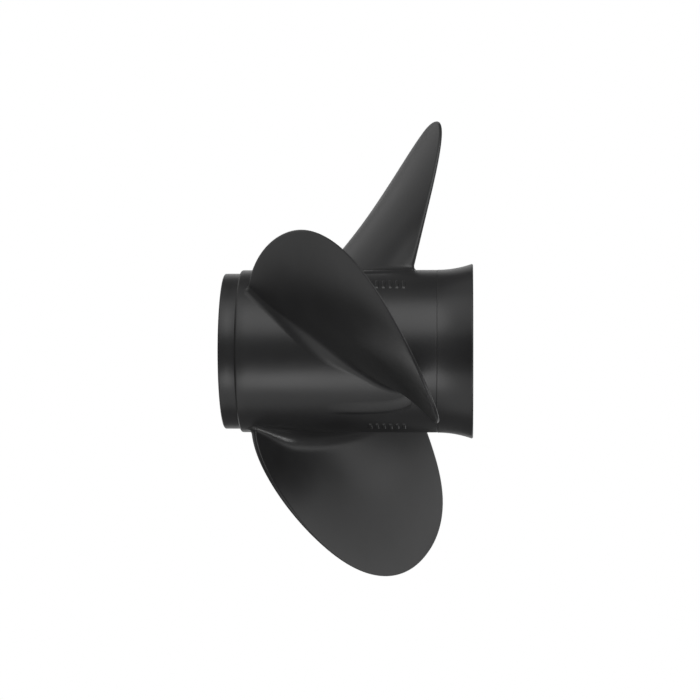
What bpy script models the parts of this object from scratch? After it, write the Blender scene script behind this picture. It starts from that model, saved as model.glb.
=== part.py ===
"""Three-bladed outboard boat propeller: a black painted aluminium casting with exhaust through its hub.

The shaft runs along X. +X points aft, +Z is up, and the origin is where the shaft's axis meets the
thrust face at the forward end of the splined sleeve. Lengths are in metres and angles in degrees.
An angle round the shaft is 0 at -Y and 90 at +Z, and grows the way the propeller turns ahead.
"""

import math

import bmesh
import bpy
import numpy as np

# Clearance kept wherever two pieces touch
FIT_GAP = 0.0003

# Barrel: the outer tube that carries the blades, with a narrower register lip at its forward end
BARREL_RADIUS = 0.0540
BARREL_FRONT = -0.0120
BARREL_BORE_FRONT = 0.0480
BARREL_BORE_AFT = 0.0496
LIP_RADIUS = 0.0517
LIP_LENGTH = 0.0110
EDGE_BREAK = 0.0008

# Diffuser ring: the flared tail, pressed on a spigot at the barrel's aft end
DIFFUSER_FRONT = 0.1295
DIFFUSER_AFT = 0.1530
DIFFUSER_STEP = 0.0001
DIFFUSER_FLARE_RADIUS = 0.068
DIFFUSER_LIP_WALL = 0.0032
DIFFUSER_ARC_STEPS = 6
SPIGOT_RADIUS = 0.0522
SPIGOT_LENGTH = 0.0050

# Inner hub, rubber bushing and splined sleeve, one inside the other
INNER_HUB_FRONT = 0.0010
INNER_HUB_AFT = 0.0960
INNER_HUB_RADIUS_FRONT = 0.0330
INNER_HUB_RADIUS_AFT = 0.0315
INNER_HUB_BORE = 0.0270
BUSHING_FRONT = 0.0040
BUSHING_AFT = 0.0925
BUSHING_CROWN = 0.0012
SLEEVE_AFT = 0.0980
SLEEVE_RADIUS = 0.0175
SPLINE_TEETH = 15
SPLINE_ROOT_RADIUS = 0.0129
SPLINE_TIP_RADIUS = 0.0114
THRUST_SEAT_RADIUS = 0.0150
THRUST_SEAT_DEPTH = 0.0050

# Ribs that carry the inner hub inside the barrel, one under each blade
RIB_FRONT = 0.0060
RIB_AFT = 0.0900
RIB_THICKNESS = 0.0080
RIB_FILLET = 0.0035
RIB_STATIONS = 7
RIB_SIDE_STEPS = 4

# Blades: a raked helicoid with an ear-shaped outline
BLADE_COUNT = 3
BLADE_ANGLE = 11.9
TIP_RADIUS = 0.1721
ROOT_PITCH = 0.517
TIP_PITCH = 0.486
ROOT_STATION = 0.0600
RAKE = (0.0425, -0.0030)
SKEW = (15.8, -41.4, 10.1)
HALF_WIDTH = (36.7, 14.6, -13.2)
TIP_FULLNESS = 1.3
ROOT_THICKNESS = 0.0074
LEADING_FULLNESS = 2.6
TRAILING_FULLNESS = 8.0
OUTER_FULLNESS = 2.2
CAMBER = 0.008
RIM_THICKNESS = 0.0021
LEADING_RIM = 0.0011
LEADING_ROOT_RIM = 0.0028
OUTER_RIM = 0.0010
TRAILING_ROOT_RIM = 0.0008
LEADING_BLUNTNESS = 1.5
NOSE_SHIFT = 0.35
FORWARD_FILLET = 0.0075
AFT_FILLET = 0.0140
NOSE_FILLET = 0.0038
TAIL_FILLET = 0.0040

# Shares of the span between which the leading edge thins out
THINS_FROM = 0.4
THINS_OVER = 0.3

# Where the root fillet grows and shrinks again, from 1 at the leading edge to -1 at the trailing
# edge, on the forward and the aft face
GROWS_FROM = (0.7, 1.0)
GROWS_OVER = (0.7, 0.5)
SHRINKS_FROM = (-0.1, -0.5)
SHRINKS_OVER = 0.5

# How finely the round shapes are cut into flat faces
SEGMENTS = 72
BLADE_SIDE_STEPS = 17
BLADE_ROWS = 19
FILLET_ROWS = 5
CAP_STEPS = 6
TOOTH_POINTS = 6

PAINT = ("black_paint", (0.030, 0.030, 0.032), 0.42, 0.0)
RUBBER = ("bushing_rubber", (0.020, 0.020, 0.020), 0.75, 0.0)
BRONZE = ("sleeve_bronze", (0.56, 0.38, 0.17), 0.32, 1.0)


def clear_scene():
    """Empties the scene that Blender starts with."""
    for item in list(bpy.data.objects):
        bpy.data.objects.remove(item, do_unlink=True)


def material(finish):
    """One Principled material for each finish, made once."""
    name, colour, roughness, metallic = finish
    found = bpy.data.materials.get(name)
    if found:
        return found
    made = bpy.data.materials.new(name)
    made.use_nodes = True
    shader = made.node_tree.nodes["Principled BSDF"]
    shader.inputs["Base Color"].default_value = (*colour, 1.0)
    shader.inputs["Roughness"].default_value = roughness
    shader.inputs["Metallic"].default_value = metallic
    return made


def add_solid(name, mesh_data, finish, parent):
    """Closes the seams of a bmesh, points its faces outwards and puts it in the scene as one node."""
    bmesh.ops.remove_doubles(mesh_data, verts=mesh_data.verts, dist=1e-6)
    bmesh.ops.recalc_face_normals(mesh_data, faces=mesh_data.faces)
    mesh = bpy.data.meshes.new(name)
    mesh_data.to_mesh(mesh)
    mesh_data.free()
    mesh.shade_smooth()
    mesh.set_sharp_from_angle(angle=math.radians(35))
    mesh.materials.append(material(finish))
    solid = bpy.data.objects.new(name, mesh)
    bpy.context.scene.collection.objects.link(solid)
    solid.parent = parent
    return solid


def on_shaft(x, radius, angle):
    """Cylindrical coordinates round the shaft, angle in radians, as (x, y, z)."""
    return np.stack([x + 0 * angle, -radius * np.cos(angle), radius * np.sin(angle)], axis=-1)


def turned(name, profile, finish, parent):
    """A closed (x, radius) profile spun once round the shaft."""
    shape = bmesh.new()
    loop = [shape.verts.new((x, -radius, 0.0)) for x, radius in profile]
    edges = [shape.edges.new((loop[i - 1], loop[i])) for i in range(len(loop))]
    bmesh.ops.spin(
        shape,
        geom=loop + edges,
        cent=(0, 0, 0),
        axis=(1, 0, 0),
        angle=2 * math.pi,
        steps=SEGMENTS,
        use_merge=True,
    )
    return add_solid(name, shape, finish, parent)


def grid_faces(shape, points, wraps):
    """Quads over a rows by columns array of points; wraps joins the last column to the first."""
    rows, columns = points.shape[:2]
    verts = [[shape.verts.new(points[i, j]) for j in range(columns)] for i in range(rows)]
    for i in range(rows - 1):
        for j in range(columns if wraps else columns - 1):
            k = (j + 1) % columns
            shape.faces.new((verts[i][j], verts[i][k], verts[i + 1][k], verts[i + 1][j]))


def end_cap(loop, side_steps):
    """Rows that close a loop on its own cylinder. The loop is (3, points) of x, radius and angle,
    and its points pair off across the piece, first with first and then j with minus j."""
    one_side = loop[:, : side_steps + 1]
    other_side = np.concatenate([loop[:, :1], loop[:, : side_steps - 1 : -1]], axis=1)
    across = np.linspace(0.0, 1.0, CAP_STEPS + 1)[:, None, None]
    rows = one_side[None] * (1 - across) + other_side[None] * across
    return on_shaft(rows[:, 0], rows[:, 1], rows[:, 2])


def stacked(name, loops, side_steps, finish, parent, open_tip=False):
    """A solid from loops stacked outwards, each (3, points) of x, radius and angle."""
    shape = bmesh.new()
    stack = np.array(loops)
    grid_faces(shape, on_shaft(stack[:, 0], stack[:, 1], stack[:, 2]), wraps=True)
    grid_faces(shape, end_cap(stack[0], side_steps), wraps=False)
    if not open_tip:
        grid_faces(shape, end_cap(stack[-1], side_steps), wraps=False)
    return add_solid(name, shape, finish, parent)


def barrel_bore(x):
    """The barrel's inner radius, which opens a little towards the tail."""
    share = (x - BARREL_FRONT) / (DIFFUSER_FRONT + SPIGOT_LENGTH - BARREL_FRONT)
    return BARREL_BORE_FRONT + (BARREL_BORE_AFT - BARREL_BORE_FRONT) * share


def inner_hub_radius(x):
    """The inner hub's outer radius, which narrows a little towards the tail."""
    share = (x - INNER_HUB_FRONT) / (INNER_HUB_AFT - INNER_HUB_FRONT)
    return INNER_HUB_RADIUS_FRONT + (INNER_HUB_RADIUS_AFT - INNER_HUB_RADIUS_FRONT) * share


def make_barrel(parent):
    """The outer tube: register lip, shoulder, plain length and the spigot for the diffuser ring."""
    shoulder = BARREL_FRONT + LIP_LENGTH
    plain_end = DIFFUSER_FRONT - FIT_GAP
    spigot_end = DIFFUSER_FRONT + SPIGOT_LENGTH
    profile = [
        (BARREL_FRONT, barrel_bore(BARREL_FRONT)),
        (BARREL_FRONT, LIP_RADIUS - EDGE_BREAK),
        (BARREL_FRONT + EDGE_BREAK, LIP_RADIUS),
        (shoulder, LIP_RADIUS),
        (shoulder, BARREL_RADIUS - EDGE_BREAK),
        (shoulder + EDGE_BREAK, BARREL_RADIUS),
        (plain_end - EDGE_BREAK, BARREL_RADIUS),
        (plain_end, BARREL_RADIUS - EDGE_BREAK),
        (plain_end, SPIGOT_RADIUS),
        (spigot_end, SPIGOT_RADIUS),
        (spigot_end, barrel_bore(spigot_end)),
    ]
    return turned("barrel", profile, PAINT, parent)


def make_diffuser_ring(parent):
    """The flared tail: its outside is one arc that starts along the barrel, a hair proud of it, and
    its inside opens with it."""
    length = DIFFUSER_AFT - DIFFUSER_FRONT
    flare = DIFFUSER_FLARE_RADIUS - math.sqrt(DIFFUSER_FLARE_RADIUS**2 - length**2)
    socket_end = DIFFUSER_FRONT + SPIGOT_LENGTH + FIT_GAP
    outer_radius = BARREL_RADIUS + DIFFUSER_STEP
    mouth = outer_radius + flare - DIFFUSER_LIP_WALL
    throat = barrel_bore(socket_end)
    steps = np.linspace(0.0, 1.0, DIFFUSER_ARC_STEPS + 1)
    outside = []
    for x in DIFFUSER_FRONT + length * steps:
        rise = DIFFUSER_FLARE_RADIUS - math.sqrt(
            DIFFUSER_FLARE_RADIUS**2 - (x - DIFFUSER_FRONT) ** 2
        )
        outside.append((x, outer_radius + rise))
    inside = [
        (x, throat + (mouth - throat) * ((x - socket_end) / (DIFFUSER_AFT - socket_end)) ** 2)
        for x in DIFFUSER_AFT - (DIFFUSER_AFT - socket_end) * steps
    ]
    socket = [
        (socket_end, SPIGOT_RADIUS + FIT_GAP),
        (DIFFUSER_FRONT, SPIGOT_RADIUS + FIT_GAP),
    ]
    return turned("diffuser_ring", outside + inside + socket, PAINT, parent)


def make_inner_hub(parent):
    """The cast tube that holds the bushing, with a chamfered mouth at each end."""
    profile = [
        (INNER_HUB_FRONT, INNER_HUB_BORE + EDGE_BREAK),
        (INNER_HUB_FRONT, inner_hub_radius(INNER_HUB_FRONT) - 2 * EDGE_BREAK),
        (INNER_HUB_FRONT + 2 * EDGE_BREAK, inner_hub_radius(INNER_HUB_FRONT)),
        (INNER_HUB_AFT - 2 * EDGE_BREAK, inner_hub_radius(INNER_HUB_AFT)),
        (INNER_HUB_AFT, inner_hub_radius(INNER_HUB_AFT) - 2 * EDGE_BREAK),
        (INNER_HUB_AFT, INNER_HUB_BORE + EDGE_BREAK),
        (INNER_HUB_AFT - EDGE_BREAK, INNER_HUB_BORE),
        (INNER_HUB_FRONT + EDGE_BREAK, INNER_HUB_BORE),
    ]
    return turned("inner_hub", profile, PAINT, parent)


def make_rubber_bushing(parent):
    """The rubber ring between inner hub and sleeve, squeezed so that its ends bulge a little."""
    outer = INNER_HUB_BORE - FIT_GAP
    inner = SLEEVE_RADIUS + FIT_GAP
    middle = (outer + inner) / 2
    profile = [
        (BUSHING_FRONT + BUSHING_CROWN, outer),
        (BUSHING_AFT - BUSHING_CROWN, outer),
        (BUSHING_AFT, middle),
        (BUSHING_AFT - BUSHING_CROWN, inner),
        (BUSHING_FRONT + BUSHING_CROWN, inner),
        (BUSHING_FRONT, middle),
    ]
    return turned("rubber_bushing", profile, RUBBER, parent)


def spline_outline():
    """The sleeve's splined bore as (radius, angle): each tooth is a tip, a root and two flanks."""
    pitch = 2 * math.pi / SPLINE_TEETH
    tooth = [
        (0.00, SPLINE_TIP_RADIUS),
        (0.18, SPLINE_TIP_RADIUS),
        (0.34, SPLINE_ROOT_RADIUS),
        (0.50, SPLINE_ROOT_RADIUS),
        (0.66, SPLINE_ROOT_RADIUS),
        (0.82, SPLINE_TIP_RADIUS),
    ]
    turns = [pitch * (n + share) for n in range(SPLINE_TEETH) for share, _ in tooth]
    radii = [radius for _ in range(SPLINE_TEETH) for _, radius in tooth]
    return np.array(radii), np.array(turns)


def make_splined_sleeve(parent):
    """The bronze sleeve: round outside, splined inside, with a conical seat for the thrust washer."""
    radii, angles = spline_outline()
    stations = [
        (0.0, THRUST_SEAT_RADIUS + 0 * radii),
        (0.0, SLEEVE_RADIUS + 0 * radii),
        (SLEEVE_AFT, SLEEVE_RADIUS + 0 * radii),
        (SLEEVE_AFT, radii),
        (THRUST_SEAT_DEPTH, radii),
        (0.0, THRUST_SEAT_RADIUS + 0 * radii),
    ]
    rows = np.array([on_shaft(x, radius, angles) for x, radius in stations])
    shape = bmesh.new()
    grid_faces(shape, rows, wraps=True)
    return add_solid("splined_sleeve", shape, BRONZE, parent)


def fillet_spread(height, radius):
    """How far a quarter-round fillet stands out from a wall, at a height above the floor it meets."""
    drop = np.maximum(radius - height, 0.0)
    return radius - np.sqrt(radius**2 - drop**2)


def eased(share):
    """A smooth rise from 0 to 1 as the share goes from 0 to 1."""
    share = np.clip(share, 0.0, 1.0)
    return share**2 * (3 - 2 * share)


def root_fillet(u, forward_face):
    """The fillet's radius round a blade's root, small at both edges and full amidships. u is 1 at
    the leading edge and -1 at the trailing edge, and all of it lies further ahead on the aft face."""
    face = np.where(forward_face > 0, 0, 1)
    grown = eased((np.take(GROWS_FROM, face) - u) / np.take(GROWS_OVER, face))
    shrunk = eased((np.take(SHRINKS_FROM, face) - u) / SHRINKS_OVER)
    amidships = np.take((FORWARD_FILLET, AFT_FILLET), face)
    full = NOSE_FILLET + (amidships - NOSE_FILLET) * grown
    return full + (TAIL_FILLET - full) * shrunk


def rib_loop(share, middle):
    """One loop round a rib: share 0 is on the inner hub and 1 is on the barrel's bore."""
    stations = np.linspace(RIB_FRONT, RIB_AFT, RIB_STATIONS)
    foot = inner_hub_radius(stations) + FIT_GAP
    head = barrel_bore(stations) - FIT_GAP
    radius = foot + (head - foot) * share
    span = float((head - foot).mean())
    spread = fillet_spread(share * span, RIB_FILLET) + fillet_spread((1 - share) * span, RIB_FILLET)
    half = RIB_THICKNESS / 2 + spread
    nose = np.ones(RIB_STATIONS)
    nose[0] = nose[-1] = 0.0
    nose[1] = nose[-2] = 0.9
    turn = half * nose / radius
    x = stations.copy()
    x[0] -= spread
    x[-1] += spread
    x[1] = stations[0] + half
    x[-2] = stations[-1] - half
    one_side = np.stack([x, radius, middle + turn])
    other_side = np.stack([x, radius, middle - turn])[:, -2:0:-1]
    return np.concatenate([one_side, other_side], axis=1)


def make_rib(number, parent):
    """A radial web of the casting, under the middle of its blade, with a fillet at both ends."""
    middle = math.radians(BLADE_ANGLE + number * 360 / BLADE_COUNT)
    height = float(barrel_bore(RIB_FRONT) - inner_hub_radius(RIB_FRONT))
    near_wall = RIB_FILLET / height
    shares = [0.0, near_wall * 0.3, near_wall, 1 - near_wall, 1 - near_wall * 0.3, 1.0]
    loops = [rib_loop(share, middle) for share in shares]
    return stacked(f"rib_{number + 1}", loops, RIB_STATIONS - 1, PAINT, parent)


def rim_distance(rho, turn, centre, half_width):
    """Distance from the blade's outline, to first order: a function that is 0 on the outline and
    grows inwards, divided by its own slope along the surface. Angles are in radians here."""
    radius = BARREL_RADIUS + rho * (TIP_RADIUS - BARREL_RADIUS)
    lead = (ROOT_PITCH + (TIP_PITCH - ROOT_PITCH) * rho) / (2 * math.pi)
    off = turn - centre
    inside = 1 - rho**TIP_FULLNESS - (off / half_width) ** 2
    centre_slope = math.radians(SKEW[0] + 2 * SKEW[1] * rho + 3 * SKEW[2] * rho**2)
    width_slope = math.radians(HALF_WIDTH[1] + 2 * HALF_WIDTH[2] * rho)
    by_turn = -2 * off / half_width**2
    by_rho = (
        -TIP_FULLNESS * rho ** (TIP_FULLNESS - 1)
        + 2 * off * centre_slope / half_width**2
        + 2 * off**2 * width_slope / half_width**3
    )
    x_by_rho = RAKE[0] + 2 * RAKE[1] * rho - (TIP_PITCH - ROOT_PITCH) / (2 * math.pi) * turn
    across = (TIP_RADIUS - BARREL_RADIUS) ** 2 + x_by_rho**2
    along = radius**2 + lead**2
    mixed = -x_by_rho * lead
    slope = (by_rho**2 * along - 2 * by_rho * by_turn * mixed + by_turn**2 * across) / (
        across * along - mixed**2
    )
    return inside / np.sqrt(slope + 1e-9)


def rim_thickness(rho, u, nose):
    """The blade's thickness just inside its outline. The leading edge is blunt from its root, where
    the nose is added, and thins out beyond the middle of the span."""
    ahead, behind = (1 + u) / 2, (1 - u) / 2
    outer = eased((rho - THINS_FROM) / THINS_OVER)
    thickness = RIM_THICKNESS + nose + LEADING_RIM * ahead**3 * (1 - outer)
    thickness = thickness - (RIM_THICKNESS - OUTER_RIM) * ahead * outer
    return thickness + TRAILING_ROOT_RIM * (1 - rho) * behind**2


def blade_loop(rho, blade_turn):
    """One loop round a blade at rho, 0 at the barrel and 1 at the tip. It runs from the leading
    edge along the forward face to the trailing edge, and back along the aft face."""
    radius = BARREL_RADIUS + rho * (TIP_RADIUS - BARREL_RADIUS)
    w = np.linspace(0.0, 2 * math.pi, 2 * BLADE_SIDE_STEPS, endpoint=False)
    u = np.cos(w)
    forward_face = np.sign(np.sin(w))
    forward_face[0] = forward_face[BLADE_SIDE_STEPS] = 0.0
    centre = math.radians(SKEW[0] * rho + SKEW[1] * rho**2 + SKEW[2] * rho**3)
    half_width = math.radians(HALF_WIDTH[0] + HALF_WIDTH[1] * rho + HALF_WIDTH[2] * rho**2)
    half_turn = half_width * math.sqrt(max(1 - rho**TIP_FULLNESS, 0.0))
    turn = centre + half_turn * u
    pitch = ROOT_PITCH + (TIP_PITCH - ROOT_PITCH) * rho
    lead = pitch / (2 * math.pi)
    helix_length = math.hypot(radius, lead)
    chord = 2 * half_turn * helix_length

    nose = LEADING_ROOT_RIM * (1 - rho) ** 6 * ((1 + u) / 2) ** 3
    rim = rim_thickness(rho, u, nose) / 2
    depth = np.clip(rim_distance(rho, turn, centre, half_width) / rim, 0.0, 1.0)
    power = 2 + LEADING_BLUNTNESS * ((1 + u) / 2) ** 3
    rounding = (1 - (1 - depth) ** power) ** (1 / power)
    trailing = OUTER_FULLNESS + (TRAILING_FULLNESS - OUTER_FULLNESS) * (1 - rho) ** 4
    fullness = np.where(u > 0, LEADING_FULLNESS, trailing)
    body = ROOT_THICKNESS * (1 - rho) * (1 - np.abs(u) ** fullness)
    offset = CAMBER * chord * (1 - u**2) + forward_face * rim * rounding
    offset = offset - NOSE_SHIFT * nose + np.where(forward_face > 0, body, 0.0)

    along = turn * helix_length
    if rho < 1:
        spread = fillet_spread(radius - BARREL_RADIUS, root_fillet(u, forward_face))
        step_along = np.roll(along, -1) - np.roll(along, 1)
        step_out = np.roll(offset, -1) - np.roll(offset, 1)
        length = np.hypot(step_along, step_out)
        along = along + spread * step_out / length
        offset = offset - spread * step_along / length

    sine, cosine = lead / helix_length, radius / helix_length
    x = ROOT_STATION + RAKE[0] * rho + RAKE[1] * rho**2 - along * sine - offset * cosine
    angle = blade_turn + (along * cosine - offset * sine) / radius
    return np.stack([x, radius + 0 * x, angle])


def make_blade(number, parent):
    """A blade from its root fillet to its tip, where the last loop shrinks to a point."""
    blade_turn = math.radians(BLADE_ANGLE + number * 360 / BLADE_COUNT)
    span = TIP_RADIUS - BARREL_RADIUS
    gap_share = FIT_GAP / span
    filleted = AFT_FILLET / span
    fillet_shares = filleted * np.linspace(0.0, 1.0, FILLET_ROWS + 1)[1:] ** 2
    steps = np.linspace(0.0, 1.0, BLADE_ROWS + 1)[1:]
    rows = [gap_share, *fillet_shares, *(filleted + (1 - filleted) * (1 - (1 - steps) ** 2))]
    loops = [blade_loop(rho, blade_turn) for rho in rows]
    return stacked(
        f"blade_{number + 1}", loops, BLADE_SIDE_STEPS, PAINT, parent, open_tip=True
    )


def main():
    clear_scene()
    shaft_centre = bpy.data.objects.new("shaft_centre", None)
    bpy.context.scene.collection.objects.link(shaft_centre)
    make_barrel(shaft_centre)
    make_diffuser_ring(shaft_centre)
    make_inner_hub(shaft_centre)
    make_rubber_bushing(shaft_centre)
    make_splined_sleeve(shaft_centre)
    for number in range(BLADE_COUNT):
        make_rib(number, shaft_centre)
        make_blade(number, shaft_centre)


main()
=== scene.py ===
"""The looks of a three-bladed outboard propeller: a satin black casting, its bushing and its splined sleeve.

The shaft runs along X, with +X aft and +Z up, in metres. A turn is an angle round the shaft in radians,
0 towards the camera at -Y and a quarter turn at +Z. Every painted piece is a surface worked out on a
grid: a profile spun round the shaft, or a loop carried outwards from the shaft.
"""

import math

import bmesh
import bpy
import numpy as np
from bpy.props import FloatProperty, FloatVectorProperty, IntProperty, PointerProperty
from bpy.types import Operator, Panel, PropertyGroup
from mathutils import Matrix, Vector


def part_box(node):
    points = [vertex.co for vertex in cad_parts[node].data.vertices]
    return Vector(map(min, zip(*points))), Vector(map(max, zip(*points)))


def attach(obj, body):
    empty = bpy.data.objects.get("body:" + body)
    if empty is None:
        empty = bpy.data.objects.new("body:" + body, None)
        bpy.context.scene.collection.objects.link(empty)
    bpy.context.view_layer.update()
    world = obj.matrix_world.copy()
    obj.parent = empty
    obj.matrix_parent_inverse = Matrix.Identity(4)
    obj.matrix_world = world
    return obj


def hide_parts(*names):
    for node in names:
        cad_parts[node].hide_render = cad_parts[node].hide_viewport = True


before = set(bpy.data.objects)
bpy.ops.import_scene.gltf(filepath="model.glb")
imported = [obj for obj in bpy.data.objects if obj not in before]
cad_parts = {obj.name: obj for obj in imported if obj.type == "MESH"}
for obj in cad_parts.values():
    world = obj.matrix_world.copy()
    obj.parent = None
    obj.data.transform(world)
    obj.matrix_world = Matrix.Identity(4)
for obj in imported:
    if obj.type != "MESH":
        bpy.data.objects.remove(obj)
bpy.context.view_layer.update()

bl_info = {
    "name": "Outboard propeller looks",
    "version": (1, 0, 0),
    "blender": (4, 5, 0),
    "location": "3D View > Sidebar > Propeller",
    "description": "Adds the painted surfaces, the bushing and sleeve, and a plain studio",
    "category": "Object",
}

BARREL_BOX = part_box("barrel")
TAIL_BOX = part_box("diffuser_ring")
HUB_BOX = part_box("inner_hub")
BUSHING_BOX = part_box("rubber_bushing")
SLEEVE_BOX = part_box("splined_sleeve")

FULL_TURN = 2 * math.pi
BLADES = 3
WELD_DISTANCE = 1e-7
SHARP_EDGE = math.radians(50)
SHELL_SEGMENTS = 288
WHITE = (1.0, 1.0, 1.0, 1.0)
SENSOR_WIDTH = 36.0

# Between the spigot and the tail's socket
SPIGOT_CLEARANCE = 0.0003
# The thin skirt that a fillet ends in, just under the surface that it stands on
SKIRT_DEPTH = 0.00008
SKIRT_WIDTH = 0.0012

# Where the leading edge thins, in shares of the span
THINS_FROM = 0.4
THINS_OVER = 0.3
# Where the root fillet grows and shrinks, in half widths from the middle: forward face, aft face
GROWS_FROM = (0.7, 1.0)
GROWS_OVER = (0.7, 0.5)
SHRINKS_FROM = (-0.1, -0.5)
SHRINKS_OVER = 0.5
# Powers by which the edge's thickness dies away from the root, and from the edge it belongs to
NOSE_DECAY = 6
LEADING_DECAY = 3
TRAILING_DECAY = 2
# The power by which the body's trailing fullness falls from the root outwards
FULLNESS_DECAY = 4

# Soft lights round the part: name, azimuth, elevation and spread in degrees, strength
STUDIO_LIGHTS = (
    ("right_wall", 118, 1, 60, 0.41),
    ("high_front_wall", 25, 43, 60, 1.24),
    ("high_left_wall", -27, 49, 60, 0.46),
    ("far_left_wall", -125, 14, 60, 0.28),
    ("low_left_wall", -45, -55, 60, 0.49),
    ("left_roof", -80, 58, 60, 0.24),
    ("backdrop", 170, -5, 60, 0.38),
    ("low_front_box", -2, -42, 24, 0.30),
    ("low_middle_box", 11, -31, 24, 0.29),
    ("right_side_box", 88, -11, 24, 0.11),
    ("right_front_box", 68, -5, 24, 0.15),
    ("low_back_box", -147, -22, 24, 0.115),
    ("high_back_box", -170, 27, 24, 0.06),
    ("low_right_strip", 55, -40, 12, 0.45),
)


def length(name, default, description):
    """A length in metres that a user can change."""
    return FloatProperty(
        name=name, description=description, default=default, unit="LENGTH", precision=5
    )


def angle(name, degrees, description):
    """An angle that a user can change, given in degrees and kept in radians."""
    return FloatProperty(
        name=name, description=description, default=math.radians(degrees), subtype="ANGLE"
    )


def colour(name, default, description):
    """A linear colour that a user can change."""
    return FloatVectorProperty(
        name=name, description=description, default=default, subtype="COLOR", min=0.0, max=1.0
    )


class CastingSizes(PropertyGroup):
    """Sizes of the barrel, the flared tail, the webs and the inner hub."""

    barrel_radius: length("Barrel radius", BARREL_BOX[1][1], "Outside of the plain barrel")
    bore_front: length("Front bore", 0.0480, "Inside of the barrel at its forward end")
    bore_aft: length("Aft bore", 0.0496, "Inside of the barrel at its spigot")
    lip_radius: length("Lip radius", 0.0517, "Outside of the register lip")
    lip_length: length("Lip length", 0.0110, "How far the lip stands ahead of the shoulder")
    lip_round: length("Lip rounding", 0.0010, "Radius on the lip's forward edge")
    shoulder_round: length("Shoulder rounding", 0.0015, "Radius on the shoulder behind the lip")
    joint_round: length("Joint rounding", 0.0050, "Radius on the barrel's edge at the tail")
    joint_turn: angle("Joint turn", 9.0, "How far round that radius the edge goes")
    spigot_radius: length("Spigot radius", 0.0522, "Outside of the spigot inside the tail")
    flare_radius: length("Flare arc", 0.068, "Radius of the arc that the tail flares on")
    tail_step: length("Tail step", 0.0001, "How far the tail stands proud of the barrel")
    tail_wall: length("Tail wall", 0.0032, "Thickness of the tail's aft edge")
    web_front: length("Web front", 0.0060, "Forward end of the webs")
    web_aft: length("Web end", 0.0900, "Aft end of the webs")
    web_thickness: length("Web thickness", 0.0080, "Thickness of a web between its fillets")
    web_fillet: length("Web fillet", 0.0035, "Fillet where a web meets hub and barrel")
    hub_bore: length("Hub bore", 0.0270, "Inside of the inner hub")
    hub_radius_front: length("Hub front radius", HUB_BOX[1][1], "Outside of the hub at its front")
    hub_radius_aft: length("Hub aft radius", 0.0315, "Outside of the hub at its aft end")


class BladeSizes(PropertyGroup):
    """The blade as a raked helicoid with an ear-shaped outline."""

    blade_angle: angle("Blade angle", 11.9, "Turn of the first blade round the shaft")
    tip_radius: length("Tip radius", 0.1721, "From the shaft's axis to the tip")
    root_pitch: length("Root pitch", 0.517, "Advance in one turn at the barrel")
    tip_pitch: length("Tip pitch", 0.486, "Advance in one turn at the tip")
    root_station: length("Root station", 0.0600, "Where the blade's middle line leaves the barrel")
    rake: length("Rake", 0.0425, "How far the tip leans aft")
    rake_curve: length("Rake curve", -0.0030, "How much of the rake bends back at the tip")
    skew: FloatVectorProperty(
        name="Skew",
        description="Turn of the middle line per share of the span, its square and its cube",
        default=(math.radians(15.8), math.radians(-41.4), math.radians(10.1)),
        subtype="EULER",
    )
    half_width: FloatVectorProperty(
        name="Half width",
        description="Half the blade's turn at the root, and how it grows with the span and its square",
        default=(math.radians(36.7), math.radians(14.6), math.radians(-13.2)),
        subtype="EULER",
    )
    tip_fullness: FloatProperty(
        name="Tip fullness", description="Power that rounds the outline at the tip", default=1.3
    )
    root_thickness: length("Root thickness", 0.0074, "Thickness added at the root")
    leading_fullness: FloatProperty(
        name="Leading fullness", description="Power that keeps it thick ahead of the middle", default=2.6
    )
    trailing_fullness: FloatProperty(
        name="Trailing fullness", description="Power that keeps the root thick behind it", default=8.0
    )
    outer_fullness: FloatProperty(
        name="Outer fullness", description="Power that the trailing fullness falls to", default=2.2
    )
    camber: FloatProperty(name="Camber", description="Camber per length of chord", default=0.008)
    rim_thickness: length("Rim thickness", 0.0021, "Thickness at the rounded edge")
    leading_rim: length("Leading rim", 0.0011, "Thickness added along the leading edge")
    leading_root_rim: length("Leading root rim", 0.0028, "Thickness added to the leading edge's root")
    trailing_root_rim: length("Trailing root rim", 0.0008, "Thickness added to the trailing edge's root")
    outer_rim: length("Outer rim", 0.0010, "Thickness of the leading edge's outer part")
    leading_bluntness: FloatProperty(
        name="Leading bluntness", description="How much flatter than round the leading edge is", default=1.5
    )
    nose_shift: FloatProperty(
        name="Nose shift", description="How far the added nose leans aft, per its thickness", default=0.35
    )
    forward_fillet: length("Forward fillet", 0.0075, "Fillet at the root of the forward face")
    aft_fillet: length("Aft fillet", 0.0140, "Fillet at the root of the aft face")
    nose_fillet: length("Nose fillet", 0.0038, "Fillet round the leading edge's root")
    tail_fillet: length("Tail fillet", 0.0040, "Fillet round the trailing edge's root")


class CastMarks(PropertyGroup):
    """What the mould left on the barrel: a parting ledge between blades, and a row of plain ticks."""

    ledge_turn: angle("Ledge turn", -58.0, "Turn of the ledge's straight part from its blade")
    ledge_front: length("Ledge front", 0.0109, "Station at the next blade's leading edge")
    ledge_aft: length("Ledge end", 0.1128, "Station at its own blade's trailing edge")
    ledge_height: length("Ledge height", 0.0010, "How far the ledge stands out")
    ledge_pad: length("Ledge pad", 0.0090, "Width over which the ledge fades into the barrel")
    ledge_edge: length("Ledge edge", 0.0038, "Width of the ledge's steep side")
    tick_turn: angle("Tick turn", 42.0, "Turn of the row of ticks from its blade")
    tick_station: length("Tick station", 0.0968, "Middle of the row of ticks")
    tick_spacing: length("Tick spacing", 0.0044, "From one tick to the next")
    tick_size: FloatVectorProperty(
        name="Tick size",
        description="Length along the shaft, length round it, and height of a tick",
        default=(0.0024, 0.0090, 0.0007),
        unit="LENGTH",
        precision=5,
    )
    ticks: IntProperty(name="Ticks", description="Ticks in a row", default=6)


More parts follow.
